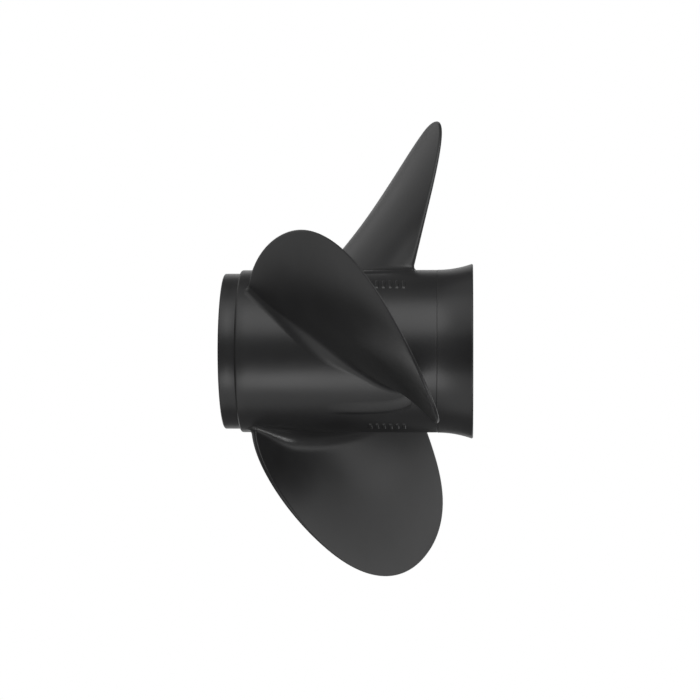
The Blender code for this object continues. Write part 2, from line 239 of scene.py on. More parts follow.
class CoreSizes(PropertyGroup):
    """Sizes of the bushing and the splined sleeve."""

    bushing_bulge: length("Bushing bulge", 0.0020, "How far the squeezed rubber bulges at its ends")
    sleeve_radius: length("Sleeve radius", 0.0175, "Outside of the sleeve")
    tooth_root: length("Tooth root", 0.0129, "Bore radius between the teeth")
    tooth_tip: length("Tooth tip", 0.0114, "Bore radius at the teeth")
    seat_radius: length("Seat radius", 0.0150, "Mouth of the conical thrust seat")
    seat_depth: length("Seat depth", 0.0050, "Depth of the conical thrust seat")
    aft_chamfer: length("Aft chamfer", 0.0012, "Chamfer on the sleeve's aft bore")
    teeth: IntProperty(name="Teeth", description="Teeth in the splined bore", default=15)


class Finishes(PropertyGroup):
    """Colours and textures of the paint, the rubber and the bronze."""

    paint_colour: colour("Paint", (0.016, 0.016, 0.0165), "Colour of the black paint")
    paint_roughness: FloatProperty(
        name="Paint roughness", description="Blur of the paint's reflections", default=0.32
    )
    peel_size: length("Peel size", 0.0011, "Size of the paint's orange peel")
    peel_depth: length("Peel depth", 0.000012, "Height of the paint's orange peel")
    casting_size: length("Casting waves", 0.022, "Size of the casting's faint unevenness")
    casting_depth: length("Casting depth", 0.00010, "Height of the casting's faint unevenness")
    rubber_colour: colour("Rubber", (0.018, 0.018, 0.019), "Colour of the bushing")
    bronze_colour: colour("Bronze", (0.52, 0.35, 0.16), "Colour of the sleeve")


class StageSettings(PropertyGroup):
    """The camera and the studio round the propeller."""

    camera_station: length("Camera station", 0.1462, "Camera's place along the shaft")
    camera_distance: length("Camera distance", 1.5273, "From the camera to the shaft, level with it")
    view_station: length("View station", 0.0712, "Place along the shaft in the picture's centre")
    view_height: length("View height", 0.0008, "Height above the shaft in the picture's centre")
    focal_length: FloatProperty(
        name="Focal length", description="Lens in millimetres for a 36 mm sensor", default=118.1
    )
    floor_drop: length("Floor drop", 0.62, "From the shaft down to the floor")
    floor_size: length("Floor size", 3.6, "Width of the square floor")
    brightness: FloatProperty(
        name="Brightness", description="Strength of all the studio lights together", default=1.0
    )
    surround: FloatProperty(
        name="Surround", description="Brightness of the dim studio round the part", default=0.16
    )


def on_shaft(station, radius, turn):
    """Points from cylindrical ones: (x, -r cos t, r sin t)."""
    station, radius, turn = np.broadcast_arrays(station, radius, turn)
    return np.stack([station, -radius * np.cos(turn), radius * np.sin(turn)], axis=-1)


def spun(profile, segments):
    """A closed profile of (x, r) points, each carried once round the shaft at evenly spaced turns."""
    turns = np.linspace(0.0, FULL_TURN, segments, endpoint=False)
    return on_shaft(profile[:, :1], profile[:, 1:], turns[None])


def rounded(corners, steps=5):
    """A closed profile from corners of (x, r, rounding). Each corner becomes the arc that touches
    both of its sides, at a distance of rounding / tan(half the corner's angle) from the corner."""
    corners = np.array(corners)
    points = corners[:, :2]
    before = np.roll(points, 1, axis=0) - points
    after = np.roll(points, -1, axis=0) - points
    before /= np.linalg.norm(before, axis=1, keepdims=True)
    after /= np.linalg.norm(after, axis=1, keepdims=True)
    half = np.arccos(np.clip((before * after).sum(axis=1), -1.0, 1.0)) / 2
    radius = corners[:, 2]
    bisector = before + after
    reach = np.linalg.norm(bisector, axis=1, keepdims=True)
    bisector = np.divide(bisector, reach, out=np.zeros_like(bisector), where=reach > 1e-9)
    centre = points + bisector * (radius / np.maximum(np.sin(half), 1e-9))[:, None]
    start = points + before * (radius / np.maximum(np.tan(half), 1e-9))[:, None] - centre
    end = points + after * (radius / np.maximum(np.tan(half), 1e-9))[:, None] - centre
    share = np.linspace(0.0, 1.0, steps)[None, :, None]
    chord = start[:, None] * (1 - share) + end[:, None] * share
    size = np.linalg.norm(chord, axis=2, keepdims=True)
    arc = np.divide(chord, size, out=np.zeros_like(chord), where=size > 1e-12)
    return (centre[:, None] + arc * radius[:, None, None]).reshape(-1, 2)


def finely(profile, spacing):
    """The closed profile with points added along its straight runs, no further apart than spacing."""
    following = np.roll(profile, -1, axis=0)
    gaps = np.linalg.norm(following - profile, axis=1)
    counts = np.maximum(np.ceil(gaps / spacing).astype(int), 1)
    owner = np.repeat(np.arange(len(profile)), counts)
    first = np.cumsum(counts) - counts
    share = (np.arange(counts.sum()) - first[owner]) / counts[owner]
    return profile[owner] + (following - profile)[owner] * share[:, None]


def grid_quads(rows, columns, wrap_rows, wrap_columns):
    """Vertex numbers of the quads over a grid, closed across the edges that wrap."""
    index = np.arange(rows * columns).reshape(rows, columns)
    if wrap_rows:
        index = np.concatenate([index, index[:1]])
    if wrap_columns:
        index = np.concatenate([index, index[:, :1]], axis=1)
    corners = [index[:-1, :-1], index[:-1, 1:], index[1:, 1:], index[1:, :-1]]
    return np.stack(corners, axis=-1).reshape(-1, 4)


def add_piece(name, grids, finish, nodes=()):
    """One closed mesh from grids of (points, wrap rows, wrap columns), welded where they meet, with
    its faces turned outwards. It rides on the root and stands for the CAD nodes that it replaces."""
    points, quads, start = [], [], 0
    for grid, wrap_rows, wrap_columns in grids:
        rows, columns = grid.shape[:2]
        points.append(grid.reshape(-1, 3))
        quads.append(grid_quads(rows, columns, wrap_rows, wrap_columns) + start)
        start += rows * columns
    mesh = bpy.data.meshes.new(name)
    mesh.from_pydata(np.concatenate(points), [], np.concatenate(quads))
    shape = bmesh.new()
    shape.from_mesh(mesh)
    bmesh.ops.remove_doubles(shape, verts=shape.verts, dist=WELD_DISTANCE)
    bmesh.ops.recalc_face_normals(shape, faces=shape.faces)
    shape.to_mesh(mesh)
    shape.free()
    mesh.shade_smooth()
    mesh.set_sharp_from_angle(angle=SHARP_EDGE)
    mesh.materials.append(finish)
    piece = bpy.data.objects.new(name, mesh)
    bpy.context.scene.collection.objects.link(piece)
    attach(piece, "root")
    if nodes:
        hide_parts(*nodes)
    return piece


def across_cap(loop, steps=8):
    """A grid that closes a loop of (x, r, t) columns, whose points pair off j with minus j. Each row
    is a share of the way from one side to the other, so the cap stays on the loop's own cylinder."""
    half = loop.shape[0] // 2
    one_side = loop[: half + 1]
    other_side = np.concatenate([loop[:1], loop[: half - 1 : -1]])
    share = np.linspace(0.0, 1.0, steps)[:, None, None]
    rows = one_side[None] * (1 - share) + other_side[None] * share
    return on_shaft(rows[..., 0], rows[..., 1], rows[..., 2])


def fillet_spread(height, fillet):
    """How far a quarter-round fillet stands out at a height above its floor. Under the floor it
    carries on outwards as a thin skirt, so that it leaves the floor without an edge."""
    drop = np.clip(fillet - height, 0.0, fillet)
    skirt = SKIRT_WIDTH * np.clip(-height / SKIRT_DEPTH, 0.0, 1.0)
    return fillet - np.sqrt(fillet**2 - drop**2) + skirt


def barrel_bore(sizes, station):
    """The barrel's inner radius, growing evenly from front to spigot."""
    share = (station - BARREL_BOX[0][0]) / (BARREL_BOX[1][0] - BARREL_BOX[0][0])
    return sizes.bore_front + (sizes.bore_aft - sizes.bore_front) * share


def hub_radius(sizes, station):
    """The inner hub's outer radius, shrinking evenly from front to back."""
    share = (station - HUB_BOX[0][0]) / (HUB_BOX[1][0] - HUB_BOX[0][0])
    return sizes.hub_radius_front + (sizes.hub_radius_aft - sizes.hub_radius_front) * share


def shader_nodes(name):
    """A new node material, with its tree, its Principled shader and object coordinates."""
    made = bpy.data.materials.new(name)
    made.use_nodes = True
    tree = made.node_tree
    coordinates = tree.nodes.new("ShaderNodeTexCoord")
    return made, tree, tree.nodes["Principled BSDF"], coordinates.outputs["Object"]


def noise(tree, coordinates, size, detail):
    """A noise texture whose blotches are about size metres across."""
    texture = tree.nodes.new("ShaderNodeTexNoise")
    texture.inputs["Scale"].default_value = 1.0 / size
    texture.inputs["Detail"].default_value = detail
    tree.links.new(coordinates, texture.inputs["Vector"])
    return texture.outputs["Fac"]


def ranged(tree, value, low, high):
    """A value of a noise texture, which stays mostly in its middle, spread from low to high."""
    noise_low, noise_high = 0.3, 0.7
    spread = tree.nodes.new("ShaderNodeMapRange")
    spread.inputs["From Min"].default_value = noise_low
    spread.inputs["From Max"].default_value = noise_high
    spread.inputs["To Min"].default_value = low
    spread.inputs["To Max"].default_value = high
    tree.links.new(value, spread.inputs["Value"])
    return spread.outputs["Result"]


def bump(tree, height, depth, under=None):
    """A bump of depth metres, laid over another one when that is given."""
    relief = tree.nodes.new("ShaderNodeBump")
    relief.inputs["Strength"].default_value = 1.0
    relief.inputs["Distance"].default_value = depth
    tree.links.new(height, relief.inputs["Height"])
    if under is not None:
        tree.links.new(under, relief.inputs["Normal"])
    return relief.outputs["Normal"]


def tinted(tree, value, dark, light):
    """A colour between dark and light, by a value from 0 to 1."""
    mix = tree.nodes.new("ShaderNodeMix")
    mix.data_type = "RGBA"
    mix.inputs["A"].default_value = (*dark, 1.0)
    mix.inputs["B"].default_value = (*light, 1.0)
    tree.links.new(value, mix.inputs["Factor"])
    return mix.outputs["Result"]


def black_paint():
    """Satin black paint over a casting: orange peel, faint waves, and a little uneven gloss."""
    found = bpy.data.materials.get("black_paint_finish")
    if found:
        return found
    look = bpy.context.scene.propeller_finishes
    made, tree, shader, coordinates = shader_nodes("black_paint_finish")
    base = np.array(look.paint_colour)
    darkest, lightest = base * 0.85, base * 1.2
    smoother, rougher = look.paint_roughness - 0.02, look.paint_roughness + 0.03
    grain_depth = look.peel_depth * 0.4
    patches = noise(tree, coordinates, size=0.035, detail=4.0)
    tint = tinted(tree, ranged(tree, patches, low=0.0, high=1.0), tuple(darkest), tuple(lightest))
    tree.links.new(tint, shader.inputs["Base Color"])
    gloss = ranged(tree, patches, low=smoother, high=rougher)
    tree.links.new(gloss, shader.inputs["Roughness"])
    swell = noise(tree, coordinates, size=look.casting_size, detail=1.0)
    skin = noise(tree, coordinates, size=look.peel_size, detail=2.0)
    grain = noise(tree, coordinates, size=0.0006, detail=2.0)
    waves = bump(tree, swell, depth=look.casting_depth)
    peel = bump(tree, skin, depth=look.peel_depth, under=waves)
    fine = bump(tree, grain, depth=grain_depth, under=peel)
    tree.links.new(fine, shader.inputs["Normal"])
    shader.inputs["Specular IOR Level"].default_value = 0.5
    return made


def bushing_rubber():
    """Moulded black rubber: dull, finely grained, with a greyish bloom in patches."""
    look = bpy.context.scene.propeller_finishes
    made, tree, shader, coordinates = shader_nodes("bushing_rubber_finish")
    base = np.array(look.rubber_colour)
    clean, bloomed = base * 0.8, base * 1.9
    patches = noise(tree, coordinates, size=0.012, detail=5.0)
    bloom = ranged(tree, patches, low=0.0, high=1.0)
    tint = tinted(tree, bloom, tuple(clean), tuple(bloomed))
    tree.links.new(tint, shader.inputs["Base Color"])
    tree.links.new(ranged(tree, bloom, low=0.62, high=0.78), shader.inputs["Roughness"])
    grain = noise(tree, coordinates, size=0.0008, detail=3.0)
    tree.links.new(bump(tree, grain, depth=0.00004), shader.inputs["Normal"])
    return made


def sleeve_bronze():
    """Turned bronze: fine rings round the shaft, brighter where the tool burnished it."""
    look = bpy.context.scene.propeller_finishes
    made, tree, shader, coordinates = shader_nodes("sleeve_bronze_finish")
    bright = np.array(look.bronze_colour)
    dulled = bright * 0.72
    ring_scale, ring_wobble = 400.0, 0.6
    patches = noise(tree, coordinates, size=0.009, detail=5.0)
    tarnish = ranged(tree, patches, low=0.0, high=1.0)
    tint = tinted(tree, tarnish, tuple(bright), tuple(dulled))
    tree.links.new(tint, shader.inputs["Base Color"])
    tree.links.new(ranged(tree, tarnish, low=0.26, high=0.42), shader.inputs["Roughness"])
    rings = tree.nodes.new("ShaderNodeTexWave")
    rings.wave_type = "RINGS"
    rings.rings_direction = "X"
    rings.inputs["Scale"].default_value = ring_scale
    rings.inputs["Distortion"].default_value = ring_wobble
    tree.links.new(coordinates, rings.inputs["Vector"])
    turned = bump(tree, rings.outputs["Fac"], depth=0.000015)
    tree.links.new(turned, shader.inputs["Normal"])
    shader.inputs["Metallic"].default_value = 1.0
    return made


class PROPELLER_OT_add_barrel(Operator):
    """Adds the barrel: register lip, shoulder, plain length and spigot"""

    bl_idname = "propeller.add_barrel"
    bl_label = "Add Barrel"

    def execute(self, context):
        sizes = context.scene.propeller_casting
        front, spigot_end = BARREL_BOX[0][0], BARREL_BOX[1][0]
        shoulder = front + sizes.lip_length
        joint_gap = 0.00005
        plain_end = TAIL_BOX[0][0] - joint_gap
        fine = 0.0004
        tilt = np.linspace(0.0, sizes.joint_turn, num=9)
        edge_x = plain_end - sizes.joint_round * (math.sin(sizes.joint_turn) - np.sin(tilt))
        edge_radius = sizes.barrel_radius - sizes.joint_round * (1 - np.cos(tilt))
        corners = [
            (front, barrel_bore(sizes, front), fine),
            (front, sizes.lip_radius, sizes.lip_round),
            (shoulder, sizes.lip_radius, fine),
            (shoulder, sizes.barrel_radius, sizes.shoulder_round),
            *((x, r, 0.0) for x, r in zip(edge_x, edge_radius)),
            (plain_end, sizes.spigot_radius, fine),
            (spigot_end, sizes.spigot_radius, fine),
            (spigot_end, barrel_bore(sizes, spigot_end), fine),
        ]
        profile = finely(rounded(corners), spacing=0.006)
        surface = (spun(profile, SHELL_SEGMENTS), True, True)
        add_piece("barrel_shell", [surface], black_paint(), ["barrel"])
        return {"FINISHED"}


class PROPELLER_OT_add_tail(Operator):
    """Adds the flared tail: an arc outside, and inside a throat that opens with the square of x"""

    bl_idname = "propeller.add_tail"
    bl_label = "Add Flared Tail"

    def execute(self, context):
        sizes = context.scene.propeller_casting
        front, aft = TAIL_BOX[0][0], TAIL_BOX[1][0]
        socket_end = BARREL_BOX[1][0] + SPIGOT_CLEARANCE
        arc = sizes.flare_radius
        steps = np.linspace(0.0, 1.0, num=25)
        outside_x = front + (aft - front) * steps
        outer = sizes.barrel_radius + sizes.tail_step
        outside = outer + arc - np.sqrt(arc**2 - (outside_x - front) ** 2)
        throat = barrel_bore(sizes, socket_end)
        mouth = outside[-1] - sizes.tail_wall
        inside_x = aft - (aft - socket_end) * steps
        inside = throat + (mouth - throat) * ((inside_x - socket_end) / (aft - socket_end)) ** 2
        joint_edge, fine, aft_edge = 0.0002, 0.0004, 0.0009
        socket = sizes.spigot_radius + SPIGOT_CLEARANCE
        corners = [
            *((x, r, 0.0) for x, r in zip(outside_x[1:-1], outside[1:-1])),
            (aft, outside[-1], aft_edge),
            (aft, inside[0], aft_edge),
            *((x, r, 0.0) for x, r in zip(inside_x[1:-1], inside[1:-1])),
            (socket_end, throat, fine),
            (socket_end, socket, 0.0),
            (front, socket, 0.0),
            (front, outer, joint_edge),
        ]
        profile = finely(rounded(corners), spacing=0.004)
        surface = (spun(profile, SHELL_SEGMENTS), True, True)
        add_piece("flared_tail", [surface], black_paint(), ["diffuser_ring"])
        return {"FINISHED"}


def eased(share):
    """A smooth rise from 0 to 1 as the share does so: three times its square less twice its cube."""
    share = np.clip(share, 0.0, 1.0)
    return share**2 * (3 - 2 * share)


def root_fillet(blade, u, forward):
    """The root fillet's radius: small at the leading edge, where u is 1, full amidships and small
    again at the trailing edge, where u is -1, with an eased change at its own place on each face."""
    faces_forward = forward > 0
    grown = eased((np.where(faces_forward, *GROWS_FROM) - u) / np.where(faces_forward, *GROWS_OVER))
    shrunk = eased((np.where(faces_forward, *SHRINKS_FROM) - u) / SHRINKS_OVER)
    amidships = np.where(faces_forward, blade.forward_fillet, blade.aft_fillet)
    full = blade.nose_fillet + (amidships - blade.nose_fillet) * grown
    return full + (blade.tail_fillet - full) * shrunk


def rim_depth(blade, span, rho, turn, centre, half_width):
    """Distance in from the blade's outline, to first order: a function that is 0 on the outline and
    grows inwards, divided by its own slope along the surface."""
    radius = blade.tip_radius - span * (1 - rho)
    lead = (blade.root_pitch + (blade.tip_pitch - blade.root_pitch) * rho) / FULL_TURN
    fullness = blade.tip_fullness
    off = turn - centre
    inside = 1 - rho**fullness - (off / half_width) ** 2
    centre_slope = blade.skew[0] + 2 * blade.skew[1] * rho + 3 * blade.skew[2] * rho**2
    width_slope = blade.half_width[1] + 2 * blade.half_width[2] * rho
    by_turn = -2 * off / half_width**2
    by_rho = (
        -fullness * rho ** (fullness - 1)
        + 2 * off * centre_slope / half_width**2
        + 2 * off**2 * width_slope / half_width**3
    )
    station_slope = (
        blade.rake
        + 2 * blade.rake_curve * rho
        - (blade.tip_pitch - blade.root_pitch) / FULL_TURN * turn
    )
    across = span**2 + station_slope**2
    along = radius**2 + lead**2
    mixed = -station_slope * lead
    slope = (by_rho**2 * along - 2 * by_rho * by_turn * mixed + by_turn**2 * across) / (
        across * along - mixed**2
    )
    return inside / np.sqrt(slope + 1e-9)


def blade_loops(blade, barrel_radius, height, columns):
    """Loops of (x, r, t) round a blade, one for each height above the barrel. A loop runs from the
    leading edge along the forward face to the trailing edge, and back along the aft face.

    At share rho of the span the middle line has turned by the skew, and a point u of the way from it
    to an edge turns on by u half widths and moves ahead by its pitch. The blade is thickened along
    its own normal, rounded at its rim, and spread out at its foot by the fillet."""
    span = blade.tip_radius - barrel_radius
    rho = np.clip(height / span, 0.0, 1.0)[:, None]
    radius = barrel_radius + height[:, None]
    around = np.linspace(0.0, FULL_TURN, columns, endpoint=False)[None]
    u = np.cos(around)
    forward = np.sign(np.round(np.sin(around), 9))
    centre = blade.skew[0] * rho + blade.skew[1] * rho**2 + blade.skew[2] * rho**3
    half_width = blade.half_width[0] + blade.half_width[1] * rho + blade.half_width[2] * rho**2
    half_turn = half_width * np.sqrt(np.maximum(1 - rho**blade.tip_fullness, 0.0))
    turn = centre + half_turn * u
    lead = (blade.root_pitch + (blade.tip_pitch - blade.root_pitch) * rho) / FULL_TURN
    helix = np.hypot(radius, lead)

    ahead, behind = (1 + u) / 2, (1 - u) / 2
    leading = ahead**LEADING_DECAY
    outer = eased((rho - THINS_FROM) / THINS_OVER)
    nose = blade.leading_root_rim * (1 - rho) ** NOSE_DECAY * leading
    rim = blade.rim_thickness + nose + blade.leading_rim * leading * (1 - outer)
    rim = rim - (blade.rim_thickness - blade.outer_rim) * ahead * outer
    rim = (rim + blade.trailing_root_rim * (1 - rho) * behind**TRAILING_DECAY) / 2
    depth = rim_depth(blade, span, rho, turn, centre, half_width) / rim
    power = 2 + blade.leading_bluntness * leading
    rounding = (1 - (1 - np.clip(depth, 0.0, 1.0)) ** power) ** (1 / power)
    root_share = (1 - rho) ** FULLNESS_DECAY
    trailing = blade.outer_fullness + (blade.trailing_fullness - blade.outer_fullness) * root_share
    fullness = np.where(u > 0, blade.leading_fullness, trailing)
    body = blade.root_thickness * (1 - rho) * (1 - np.abs(u) ** fullness)
    offset = blade.camber * 2 * half_turn * helix * (1 - u**2) + forward * rim * rounding
    offset = offset - blade.nose_shift * nose
    offset = offset + np.where(forward > 0, body, 0.0)

    along = turn * helix
    step_along = np.roll(along, -1, axis=1) - np.roll(along, 1, axis=1)
    step_out = np.roll(offset, -1, axis=1) - np.roll(offset, 1, axis=1)
    size = np.maximum(np.hypot(step_along, step_out), 1e-9)
    spread = fillet_spread(height[:, None], root_fillet(blade, u, forward))
    along = along + spread * step_out / size
    offset = offset - spread * step_along / size

    sine, cosine = lead / helix, radius / helix
    station = blade.root_station + blade.rake * rho + blade.rake_curve * rho**2
    station = station - along * sine - offset * cosine
    turned = (along * cosine - offset * sine) / radius
    return np.stack([station, radius + 0 * station, turned], axis=-1)


class PROPELLER_OT_add_blades(Operator):
    """Adds the blades, each from a skirt just under the barrel's surface out to its tip"""

    bl_idname = "propeller.add_blades"
    bl_label = "Add Blades"

    def execute(self, context):
        blade = context.scene.propeller_blade
        barrel_radius = context.scene.propeller_casting.barrel_radius
        span = blade.tip_radius - barrel_radius
        buried = 0.0015
        under = np.array([-buried, -SKIRT_DEPTH])
        # Heights crowd together at the foot and at the tip, as squares do near 0
        foot = blade.aft_fillet * np.linspace(0.0, 1.0, num=25) ** 2
        out = np.linspace(0.0, 1.0, num=91)[1:]
        rest = blade.aft_fillet + (span - blade.aft_fillet) * (1 - (1 - out) ** 2)
        heights = np.concatenate([under, foot, rest])
        loops = blade_loops(blade, barrel_radius, heights, columns=192)
        for number in range(BLADES):
            placed = loops.copy()
            placed[..., 2] += blade.blade_angle + number * FULL_TURN / BLADES
            grids = [
                (on_shaft(placed[..., 0], placed[..., 1], placed[..., 2]), False, True),
                (across_cap(placed[0]), False, False),
            ]
            name = f"blade_{number + 1}"
            add_piece(f"{name}_skin", grids, black_paint(), [name])
        return {"FINISHED"}


class PROPELLER_OT_add_ledges(Operator):
    """Adds the parting ledges, each from a blade's trailing edge to the next blade's leading edge"""

    bl_idname = "propeller.add_ledges"
    bl_label = "Add Parting Ledges"

    def execute(self, context):
        marks = context.scene.propeller_marks
        barrel_radius = context.scene.propeller_casting.barrel_radius
        first = context.scene.propeller_blade.blade_angle
        start, rises_from, rises_over = 0.050, 0.055, 0.030
        sunk, buried = 0.00003, 0.0006
        station = np.linspace(start, marks.ledge_aft, num=90)[:, None]
        # Straight, but bent towards the blade at each end as an exponential decay
        aft_bend, aft_reach = math.radians(7.7), 0.009
        front_bend, front_reach = math.radians(29.0), 0.013
        bend_aft = aft_bend * np.exp((station - marks.ledge_aft) / aft_reach)
        bend_front = front_bend * np.exp((marks.ledge_front - station) / front_reach)
        line = marks.ledge_turn + bend_aft - bend_front
        # Highest on the line: it fades over the pad on one side, and steeply on the other
        pad, edge = marks.ledge_pad, marks.ledge_edge
        crowding = 1.6
        above = pad * np.linspace(1.0, 0.0, num=13) ** crowding
        below = -edge * np.linspace(0.0, 1.0, num=9)[1:]
        across = np.concatenate([above, below])
        section = 1 - eased(np.where(across > 0, across / pad, -across / edge))
        growth = eased((station - rises_from) / rises_over)
        top = marks.ledge_height * section * growth - sunk
        bottom = np.full_like(top[:, 1:-1], -buried)
        rise = np.concatenate([top, bottom[:, ::-1]], axis=1)
        offset = np.concatenate([across, across[-2:0:-1]])[None] / barrel_radius
        loops = np.stack(np.broadcast_arrays(station, barrel_radius + rise, line + offset), axis=-1)
        for number in range(BLADES):
            placed = loops.copy()
            placed[..., 2] += first + number * FULL_TURN / BLADES
            grids = [
                (on_shaft(placed[..., 0], placed[..., 1], placed[..., 2]), False, True),
                (across_cap(placed[0]), False, False),
                (across_cap(placed[-1]), False, False),
            ]
            add_piece(f"parting_ledge_{number + 1}", grids, black_paint())
        return {"FINISHED"}


class PROPELLER_OT_add_ticks(Operator):
    """Adds the rows of plain raised ticks, one row behind each blade"""

    bl_idname = "propeller.add_ticks"
    bl_label = "Add Cast Ticks"

    def execute(self, context):
        marks = context.scene.propeller_marks
        barrel_radius = context.scene.propeller_casting.barrel_radius
        first = context.scene.propeller_blade.blade_angle
        long, wide, high = marks.tick_size
        sunk = 0.00005
        share = np.linspace(-1.0, 1.0, num=17)
        along, around = np.meshgrid(share, share, indexing="ij")
        # A flat-topped cushion: one less the sixth power of the share, both ways
        flatness = 6
        cushion = high * (1 - along**flatness) * (1 - around**flatness) - sunk
        middle = (marks.ticks - 1) / 2
        for number in range(BLADES):
            turn = first + number * FULL_TURN / BLADES + marks.tick_turn
            grids = []
            for tick in range(marks.ticks):
                station = marks.tick_station + (tick - middle) * marks.tick_spacing + along * long / 2
                turns = turn + around * wide / 2 / barrel_radius
                for rise in (cushion, np.full_like(cushion, -sunk)):
                    grids.append((on_shaft(station, barrel_radius + rise, turns), False, False))
            add_piece(f"cast_ticks_{number + 1}", grids, black_paint())
        return {"FINISHED"}


class PROPELLER_OT_add_webs(Operator):
    """Adds the webs between inner hub and barrel, with a fillet at both ends"""

    bl_idname = "propeller.add_webs"
    bl_label = "Add Webs"

    def execute(self, context):
        sizes = context.scene.propeller_casting
        first = context.scene.propeller_blade.blade_angle
        middle = (sizes.web_front + sizes.web_aft) / 2
        core = (sizes.web_aft - sizes.web_front - sizes.web_thickness) / 2
        buried = 0.0008
        around = np.linspace(0.0, FULL_TURN, num=64, endpoint=False)[None]
        gap = barrel_bore(sizes, middle) - hub_radius(sizes, middle)
        near = sizes.web_fillet * np.linspace(0.0, 1.0, num=9) ** 2
        low = np.concatenate([[-buried, -SKIRT_DEPTH], near])
        heights = np.concatenate([low, gap - low[::-1]])[:, None]
        spread = fillet_spread(heights, sizes.web_fillet)
        spread = spread + fillet_spread(gap - heights, sizes.web_fillet)
        half = sizes.web_thickness / 2 + spread
        station = middle + core * np.sign(np.round(np.cos(around), 9)) + half * np.cos(around)
        foot, head = hub_radius(sizes, station), barrel_bore(sizes, station)
        radius = foot + (head - foot) * heights / gap
        turn = half * np.sin(around) / radius
        for number in range(BLADES):
            loops = np.stack([station, radius, turn], axis=-1)
            loops[..., 2] += first + number * FULL_TURN / BLADES
            grids = [
                (on_shaft(loops[..., 0], loops[..., 1], loops[..., 2]), False, True),
                (across_cap(loops[0]), False, False),
                (across_cap(loops[-1]), False, False),
            ]
            add_piece(
                f"web_{number + 1}", grids, black_paint(), [f"rib_{number + 1}"]
            )
        return {"FINISHED"}


class PROPELLER_OT_add_inner_hub(Operator):
    """Adds the inner hub, a slightly tapered tube with rounded ends"""

    bl_idname = "propeller.add_inner_hub"
    bl_label = "Add Inner Hub"

    def execute(self, context):
        sizes = context.scene.propeller_casting
        front, aft = HUB_BOX[0][0], HUB_BOX[1][0]
        inner_edge, outer_edge = 0.0008, 0.0016
        corners = [
            (front, sizes.hub_bore, inner_edge),
            (front, sizes.hub_radius_front, outer_edge),
            (aft, sizes.hub_radius_aft, outer_edge),
            (aft, sizes.hub_bore, inner_edge),
        ]
        profile = finely(rounded(corners, steps=7), spacing=0.006)
        surface = (spun(profile, segments=192), True, True)
        add_piece("hub_tube", [surface], black_paint(), ["inner_hub"])
        return {"FINISHED"}


class PROPELLER_OT_add_bushing(Operator):
    """Adds the rubber bushing, whose ends bulge as half an ellipse with a moulded groove"""

    bl_idname = "propeller.add_bushing"
    bl_label = "Add Bushing"

    def execute(self, context):
        clearance = 0.0001
        groove_depth, groove_share = 0.0005, 0.09
        inner = context.scene.propeller_core.sleeve_radius + clearance
        outer = context.scene.propeller_casting.hub_bore - clearance
        bulge = context.scene.propeller_core.bushing_bulge
        across = np.linspace(-1.0, 1.0, num=41)
        radius = (outer + inner) / 2 + (outer - inner) / 2 * across
        groove = groove_depth * np.exp(-((across / groove_share) ** 2))
        rise = bulge * (np.sqrt(np.maximum(1 - across**2, 0.0)) - 1) - groove
        aft = np.stack([BUSHING_BOX[1][0] + rise, radius], axis=-1)
        front = np.stack([BUSHING_BOX[0][0] - rise, radius], axis=-1)[::-1]
        surface = (spun(np.concatenate([aft, front]), segments=128), True, True)
        add_piece("bushing_ring", [surface], bushing_rubber(), ["rubber_bushing"])
        return {"FINISHED"}


class PROPELLER_OT_add_sleeve(Operator):
    """Adds the bronze sleeve. Its bore is the tooth shape, cut back by a cone at each end"""

    bl_idname = "propeller.add_sleeve"
    bl_label = "Add Splined Sleeve"

    def execute(self, context):
        core = context.scene.propeller_core
        front, aft = SLEEVE_BOX[0][0], SLEEVE_BOX[1][0]
        points_per_tooth = 28
        turns = np.linspace(0.0, FULL_TURN, core.teeth * points_per_tooth, endpoint=False)[None]
        # A tooth is a cosine squared up by a hyperbolic tangent
        steepness = 3.2
        wave = np.tanh(steepness * np.cos(core.teeth * turns)) / math.tanh(steepness)
        teeth = (core.tooth_root + core.tooth_tip) / 2 - (core.tooth_root - core.tooth_tip) / 2 * wave
        chamfered = core.aft_chamfer * 2
        station = np.concatenate([
            front + core.seat_depth * np.linspace(0.0, 1.0, num=13),
            aft - chamfered + chamfered * np.linspace(0.0, 1.0, num=9),
        ])[:, None]
        cone_slope = (core.seat_radius - core.tooth_tip) / core.seat_depth
        front_cone = core.seat_radius - (station - front) * cone_slope
        aft_cone = core.tooth_root + core.aft_chamfer / 2 - (aft - station)
        bore = np.maximum(np.maximum(teeth, front_cone), aft_cone)
        edge = 0.0006
        eased_edge = edge * 0.3
        outside = [
            (aft, core.sleeve_radius - edge),
            (aft - eased_edge, core.sleeve_radius - eased_edge),
            (aft - edge, core.sleeve_radius),
            (front + edge, core.sleeve_radius),
            (front + eased_edge, core.sleeve_radius - eased_edge),
            (front, core.sleeve_radius - edge),
        ]
        stations = np.concatenate([station[:, 0], [x for x, _ in outside]])[:, None]
        flat = np.repeat([[r] for _, r in outside], turns.shape[1], axis=1)
        surface = (on_shaft(stations, np.concatenate([bore, flat]), turns), True, True)
        add_piece("splined_core", [surface], sleeve_bronze(), ["splined_sleeve"])
        return {"FINISHED"}


def soft_light(name, azimuth, elevation, spread, strength):
    """A distant light as wide as a softbox, all in degrees. Azimuth 0 is on the camera's side at -Y,
    and 90 degrees is at +X."""
    light = bpy.data.lights.new(name, "SUN")
    light.angle = math.radians(spread)
    light.energy = strength
    across, up = math.radians(azimuth), math.radians(elevation)
    place = Vector((math.cos(up) * math.sin(across), -math.cos(up) * math.cos(across), math.sin(up)))
    lamp = bpy.data.objects.new(name, light)
    lamp.rotation_euler = place.to_track_quat("Z", "Y").to_euler()
    bpy.context.scene.collection.objects.link(lamp)


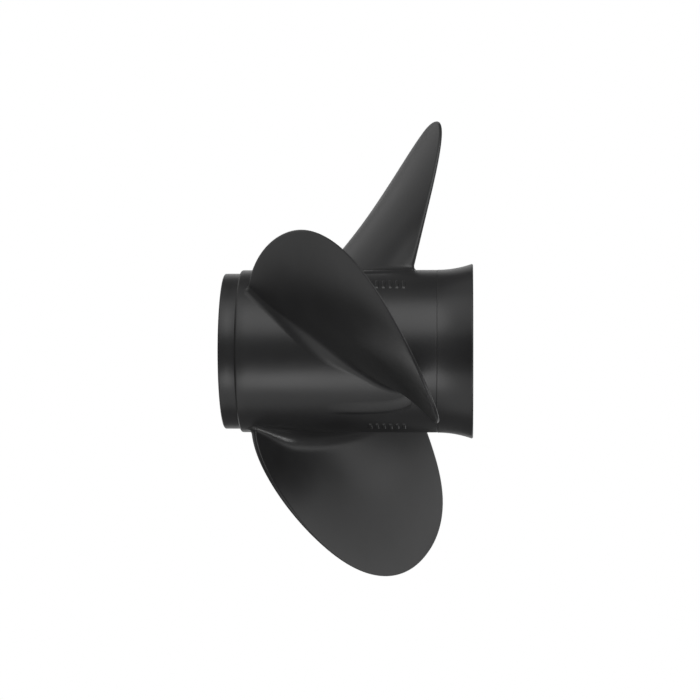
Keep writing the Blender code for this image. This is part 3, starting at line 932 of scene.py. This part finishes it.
def studio_surround(brightness):
    """A world that the camera sees as plain white, and that lights the part only dimly."""
    world = bpy.data.worlds.new("studio_surround")
    world.use_nodes = True
    tree = world.node_tree
    seen = tree.nodes["Background"]
    seen.inputs["Color"].default_value = WHITE
    seen.inputs["Strength"].default_value = 1.0
    dim = tree.nodes.new("ShaderNodeBackground")
    dim.inputs["Color"].default_value = WHITE
    dim.inputs["Strength"].default_value = brightness
    path = tree.nodes.new("ShaderNodeLightPath")
    mix = tree.nodes.new("ShaderNodeMixShader")
    tree.links.new(path.outputs["Is Camera Ray"], mix.inputs["Fac"])
    tree.links.new(dim.outputs["Background"], mix.inputs[1])
    tree.links.new(seen.outputs["Background"], mix.inputs[2])
    tree.links.new(mix.outputs["Shader"], tree.nodes["World Output"].inputs["Surface"])
    bpy.context.scene.world = world


class PROPELLER_OT_add_stage(Operator):
    """Adds the pale floor, the softboxes and the camera at the photograph's angle"""

    bl_idname = "propeller.add_stage"
    bl_label = "Add Stage"

    def execute(self, context):
        stage = context.scene.propeller_stage
        aim = (stage.view_station, 0.0, stage.view_height)
        half = stage.floor_size / 2
        floor_mesh = bpy.data.meshes.new("studio_floor")
        corners = [(-half, -half), (half, -half), (half, half), (-half, half)]
        points = [(aim[0] + x, y, -stage.floor_drop) for x, y in corners]
        floor_mesh.from_pydata(points, [], [(0, 1, 2, 3)])
        floor = bpy.data.objects.new("studio_floor", floor_mesh)
        paper = bpy.data.materials.new("floor_paper")
        paper.use_nodes = True
        shader = paper.node_tree.nodes["Principled BSDF"]
        pale_grey, dull = (0.86, 0.86, 0.86, 1.0), 0.9
        shader.inputs["Base Color"].default_value = pale_grey
        shader.inputs["Roughness"].default_value = dull
        floor_mesh.materials.append(paper)
        # Only the camera sees the floor, so that it keeps no light off the part from below
        floor.visible_diffuse = floor.visible_glossy = floor.visible_shadow = False
        context.scene.collection.objects.link(floor)

        for name, azimuth, elevation, spread, strength in STUDIO_LIGHTS:
            soft_light(name, azimuth, elevation, spread, strength * stage.brightness)
        studio_surround(stage.surround)
        context.scene.view_settings.view_transform = "Standard"

        lens = bpy.data.cameras.new("camera")
        lens.sensor_width = SENSOR_WIDTH
        lens.lens = stage.focal_length
        camera = bpy.data.objects.new("camera", lens)
        camera.location = (stage.camera_station, -stage.camera_distance, 0.0)
        towards = Vector(aim) - camera.location
        camera.rotation_euler = towards.to_track_quat("-Z", "Y").to_euler()
        context.scene.collection.objects.link(camera)
        context.scene.camera = camera
        return {"FINISHED"}


class PROPELLER_PT_looks(Panel):
    """Lists the propeller's pieces and the sizes that shape them"""

    bl_idname = "PROPELLER_PT_looks"
    bl_label = "Outboard Propeller"
    bl_space_type = "VIEW_3D"
    bl_region_type = "UI"
    bl_category = "Propeller"

    def draw(self, context):
        for step in STEPS:
            self.layout.operator(step.bl_idname)
        for group in SETTINGS:
            settings = getattr(context.scene, group)
            box = self.layout.box()
            for name in settings.__annotations__:
                box.prop(settings, name)


SETTINGS = {
    "propeller_casting": CastingSizes,
    "propeller_blade": BladeSizes,
    "propeller_marks": CastMarks,
    "propeller_core": CoreSizes,
    "propeller_finishes": Finishes,
    "propeller_stage": StageSettings,
}
STEPS = (
    PROPELLER_OT_add_stage,
    PROPELLER_OT_add_barrel,
    PROPELLER_OT_add_tail,
    PROPELLER_OT_add_blades,
    PROPELLER_OT_add_ledges,
    PROPELLER_OT_add_ticks,
    PROPELLER_OT_add_webs,
    PROPELLER_OT_add_inner_hub,
    PROPELLER_OT_add_bushing,
    PROPELLER_OT_add_sleeve,
)
CLASSES = (*SETTINGS.values(), *STEPS, PROPELLER_PT_looks)


def register():
    """Registers every class, and keeps each group of settings on the scene."""
    for item in CLASSES:
        bpy.utils.register_class(item)
    for name, group in SETTINGS.items():
        setattr(bpy.types.Scene, name, PointerProperty(type=group))


def unregister():
    """Takes the settings off the scene and the classes out of Blender."""
    for name in SETTINGS:
        delattr(bpy.types.Scene, name)
    for item in reversed(CLASSES):
        bpy.utils.unregister_class(item)


def main():
    """Adds every piece in order."""
    register()
    for step in STEPS:
        family, action = step.bl_idname.split(".")
        getattr(getattr(bpy.ops, family), action)()


if __name__ == "__main__":
    main()
